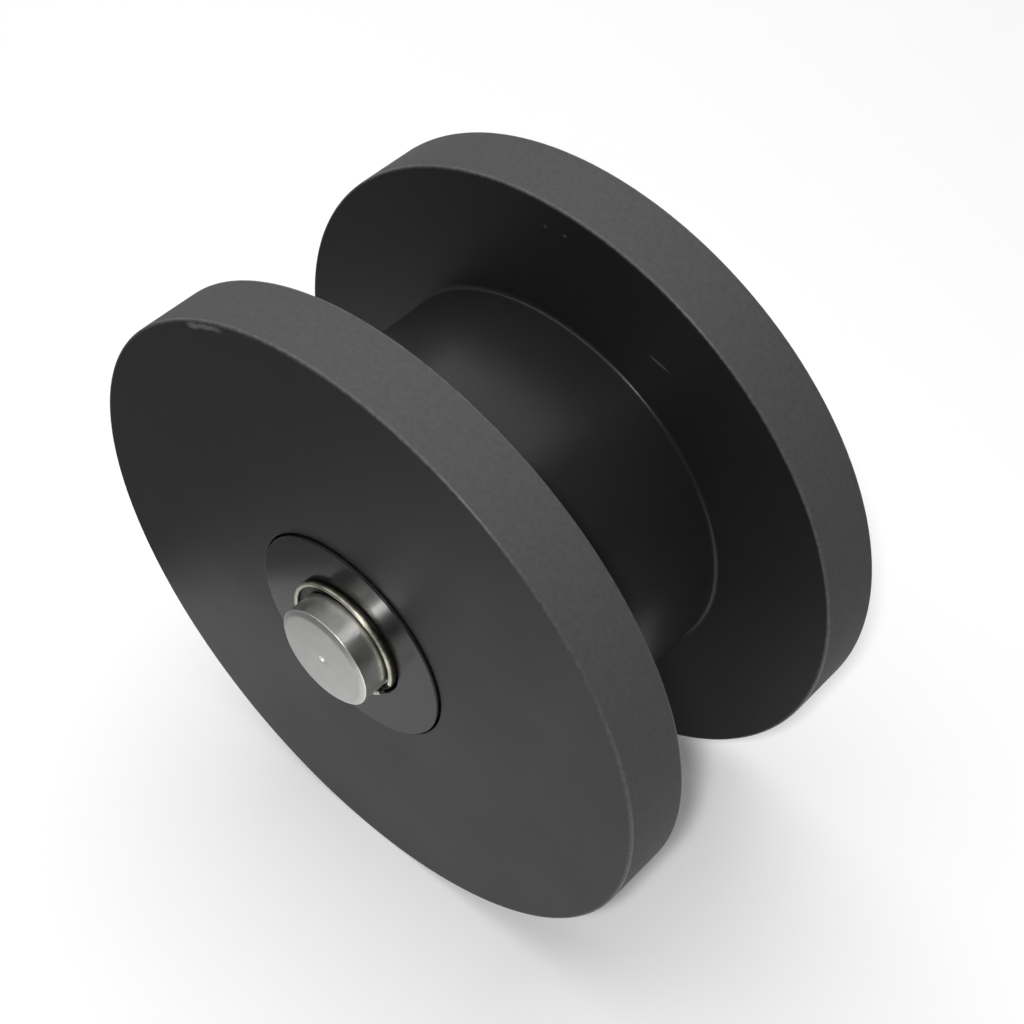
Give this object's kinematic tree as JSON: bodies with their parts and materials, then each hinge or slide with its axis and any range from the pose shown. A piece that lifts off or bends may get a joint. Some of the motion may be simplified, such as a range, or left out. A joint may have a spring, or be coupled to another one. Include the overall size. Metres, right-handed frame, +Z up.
{
  "type": "flanged sheave roller",
  "caption": "Double-flanged black nylon sheave roller that turns on a fixed steel axle pin with snap rings, through sealed ball bearings.",
  "frame": {"origin": "centre of the roller: on the pin's axis, halfway between its two ends", "axes": "+Y along the pin's axis towards the rear end, +Z up, +X to the right seen from the front end"},
  "size_m": [0.125, 0.0778, 0.125],
  "materials": {
    "black_nylon": "turned nylon, satin matt with a fine speckle",
    "plated_steel": "bright plated, drawn and turned steel",
    "spring_steel": "passivated spring steel, pale yellow tint",
    "blackened_steel": "blackened and oiled steel",
    "bearing_steel": "ground and polished bearing steel",
    "cage_nylon": "moulded natural nylon",
    "seal_rubber": "moulded nitrile rubber",
    "cap_plastic": "smooth glossy black plastic"
  },
  "bodies": {
    "pin": {"axle_pin": "plated_steel", "spacer_sleeve": "bearing_steel", "bearing_inner_ring_front": "bearing_steel", "thrust_collar_front": "blackened_steel", "snap_ring_front": "spring_steel", "bearing_inner_ring_rear": "bearing_steel", "thrust_collar_rear": "blackened_steel", "snap_ring_rear": "spring_steel"},
    "sheave": {"sheave_body": "black_nylon", "bearing_outer_ring_front": "bearing_steel", "bearing_outer_seal_front": "seal_rubber", "bearing_inner_seal_front": "seal_rubber", "bore_circlip_front": "blackened_steel", "dust_cap_front": "cap_plastic", "bearing_outer_ring_rear": "bearing_steel", "bearing_outer_seal_rear": "seal_rubber", "bearing_inner_seal_rear": "seal_rubber", "bore_circlip_rear": "blackened_steel", "dust_cap_rear": "cap_plastic"},
    "cage_front": {"ball_cage_front": "cage_nylon"},
    "ball_front_1": {"bearing_ball_front_1": "bearing_steel"},
    "ball_front_2": {"bearing_ball_front_2": "bearing_steel"},
    "ball_front_3": {"bearing_ball_front_3": "bearing_steel"},
    "ball_front_4": {"bearing_ball_front_4": "bearing_steel"},
    "ball_front_5": {"bearing_ball_front_5": "bearing_steel"},
    "ball_front_6": {"bearing_ball_front_6": "bearing_steel"},
    "ball_front_7": {"bearing_ball_front_7": "bearing_steel"},
    "ball_front_8": {"bearing_ball_front_8": "bearing_steel"},
    "ball_front_9": {"bearing_ball_front_9": "bearing_steel"},
    "cage_rear": {"ball_cage_rear": "cage_nylon"},
    "ball_rear_1": {"bearing_ball_rear_1": "bearing_steel"},
    "ball_rear_2": {"bearing_ball_rear_2": "bearing_steel"},
    "ball_rear_3": {"bearing_ball_rear_3": "bearing_steel"},
    "ball_rear_4": {"bearing_ball_rear_4": "bearing_steel"},
    "ball_rear_5": {"bearing_ball_rear_5": "bearing_steel"},
    "ball_rear_6": {"bearing_ball_rear_6": "bearing_steel"},
    "ball_rear_7": {"bearing_ball_rear_7": "bearing_steel"},
    "ball_rear_8": {"bearing_ball_rear_8": "bearing_steel"},
    "ball_rear_9": {"bearing_ball_rear_9": "bearing_steel"}
  },
  "joints": [
    {"name": "sheave_spin", "type": "hinge", "parent": "pin", "child": "sheave", "pos_m": [0, 0, 0], "axis": [0, 1, 0], "continuous": true},
    {"name": "cage_spin_front", "type": "hinge", "parent": "pin", "child": "cage_front", "pos_m": [0, -0.02155, 0], "axis": [0, 1, 0], "continuous": true},
    {"name": "ball_spin_front_1", "type": "hinge", "parent": "cage_front", "child": "ball_front_1", "pos_m": [0.01464, -0.02155, 0.00533], "axis": [0, 1, 0], "continuous": true},
    {"name": "ball_spin_front_2", "type": "hinge", "parent": "cage_front", "child": "ball_front_2", "pos_m": [0.00779, -0.02155, 0.01349], "axis": [0, 1, 0], "continuous": true},
    {"name": "ball_spin_front_3", "type": "hinge", "parent": "cage_front", "child": "ball_front_3", "pos_m": [-0.0027, -0.02155, 0.01534], "axis": [0, 1, 0], "continuous": true},
    {"name": "ball_spin_front_4", "type": "hinge", "parent": "cage_front", "child": "ball_front_4", "pos_m": [-0.01193, -0.02155, 0.01001], "axis": [0, 1, 0], "continuous": true},
    {"name": "ball_spin_front_5", "type": "hinge", "parent": "cage_front", "child": "ball_front_5", "pos_m": [-0.01558, -0.02155, 0], "axis": [0, 1, 0], "continuous": true},
    {"name": "ball_spin_front_6", "type": "hinge", "parent": "cage_front", "child": "ball_front_6", "pos_m": [-0.01193, -0.02155, -0.01001], "axis": [0, 1, 0], "continuous": true},
    {"name": "ball_spin_front_7", "type": "hinge", "parent": "cage_front", "child": "ball_front_7", "pos_m": [-0.0027, -0.02155, -0.01534], "axis": [0, 1, 0], "continuous": true},
    {"name": "ball_spin_front_8", "type": "hinge", "parent": "cage_front", "child": "ball_front_8", "pos_m": [0.00779, -0.02155, -0.01349], "axis": [0, 1, 0], "continuous": true},
    {"name": "ball_spin_front_9", "type": "hinge", "parent": "cage_front", "child": "ball_front_9", "pos_m": [0.01464, -0.02155, -0.00533], "axis": [0, 1, 0], "continuous": true},
    {"name": "cage_spin_rear", "type": "hinge", "parent": "pin", "child": "cage_rear", "pos_m": [0, 0.02155, 0], "axis": [0, 1, 0], "continuous": true},
    {"name": "ball_spin_rear_1", "type": "hinge", "parent": "cage_rear", "child": "ball_rear_1", "pos_m": [0.01464, 0.02155, 0.00533], "axis": [0, 1, 0], "continuous": true},
    {"name": "ball_spin_rear_2", "type": "hinge", "parent": "cage_rear", "child": "ball_rear_2", "pos_m": [0.00779, 0.02155, 0.01349], "axis": [0, 1, 0], "continuous": true},
    {"name": "ball_spin_rear_3", "type": "hinge", "parent": "cage_rear", "child": "ball_rear_3", "pos_m": [-0.0027, 0.02155, 0.01534], "axis": [0, 1, 0], "continuous": true},
    {"name": "ball_spin_rear_4", "type": "hinge", "parent": "cage_rear", "child": "ball_rear_4", "pos_m": [-0.01193, 0.02155, 0.01001], "axis": [0, 1, 0], "continuous": true},
    {"name": "ball_spin_rear_5", "type": "hinge", "parent": "cage_rear", "child": "ball_rear_5", "pos_m": [-0.01558, 0.02155, 0], "axis": [0, 1, 0], "continuous": true},
    {"name": "ball_spin_rear_6", "type": "hinge", "parent": "cage_rear", "child": "ball_rear_6", "pos_m": [-0.01193, 0.02155, -0.01001], "axis": [0, 1, 0], "continuous": true},
    {"name": "ball_spin_rear_7", "type": "hinge", "parent": "cage_rear", "child": "ball_rear_7", "pos_m": [-0.0027, 0.02155, -0.01534], "axis": [0, 1, 0], "continuous": true},
    {"name": "ball_spin_rear_8", "type": "hinge", "parent": "cage_rear", "child": "ball_rear_8", "pos_m": [0.00779, 0.02155, -0.01349], "axis": [0, 1, 0], "continuous": true},
    {"name": "ball_spin_rear_9", "type": "hinge", "parent": "cage_rear", "child": "ball_rear_9", "pos_m": [0.01464, 0.02155, -0.00533], "axis": [0, 1, 0], "continuous": true}
  ],
  "couplings": [
    {"joint": "cage_spin_front", "follows": "sheave_spin", "ratio": 0.60193},
    {"joint": "ball_spin_front_1", "follows": "sheave_spin", "ratio": 2.3508},
    {"joint": "ball_spin_front_2", "follows": "sheave_spin", "ratio": 2.3508},
    {"joint": "ball_spin_front_3", "follows": "sheave_spin", "ratio": 2.3508},
    {"joint": "ball_spin_front_4", "follows": "sheave_spin", "ratio": 2.3508},
    {"joint": "ball_spin_front_5", "follows": "sheave_spin", "ratio": 2.3508},
    {"joint": "ball_spin_front_6", "follows": "sheave_spin", "ratio": 2.3508},
    {"joint": "ball_spin_front_7", "follows": "sheave_spin", "ratio": 2.3508},
    {"joint": "ball_spin_front_8", "follows": "sheave_spin", "ratio": 2.3508},
    {"joint": "ball_spin_front_9", "follows": "sheave_spin", "ratio": 2.3508},
    {"joint": "cage_spin_rear", "follows": "sheave_spin", "ratio": 0.60193},
    {"joint": "ball_spin_rear_1", "follows": "sheave_spin", "ratio": 2.3508},
    {"joint": "ball_spin_rear_2", "follows": "sheave_spin", "ratio": 2.3508},
    {"joint": "ball_spin_rear_3", "follows": "sheave_spin", "ratio": 2.3508},
    {"joint": "ball_spin_rear_4", "follows": "sheave_spin", "ratio": 2.3508},
    {"joint": "ball_spin_rear_5", "follows": "sheave_spin", "ratio": 2.3508},
    {"joint": "ball_spin_rear_6", "follows": "sheave_spin", "ratio": 2.3508},
    {"joint": "ball_spin_rear_7", "follows": "sheave_spin", "ratio": 2.3508},
    {"joint": "ball_spin_rear_8", "follows": "sheave_spin", "ratio": 2.3508},
    {"joint": "ball_spin_rear_9", "follows": "sheave_spin", "ratio": 2.3508}
  ]
}
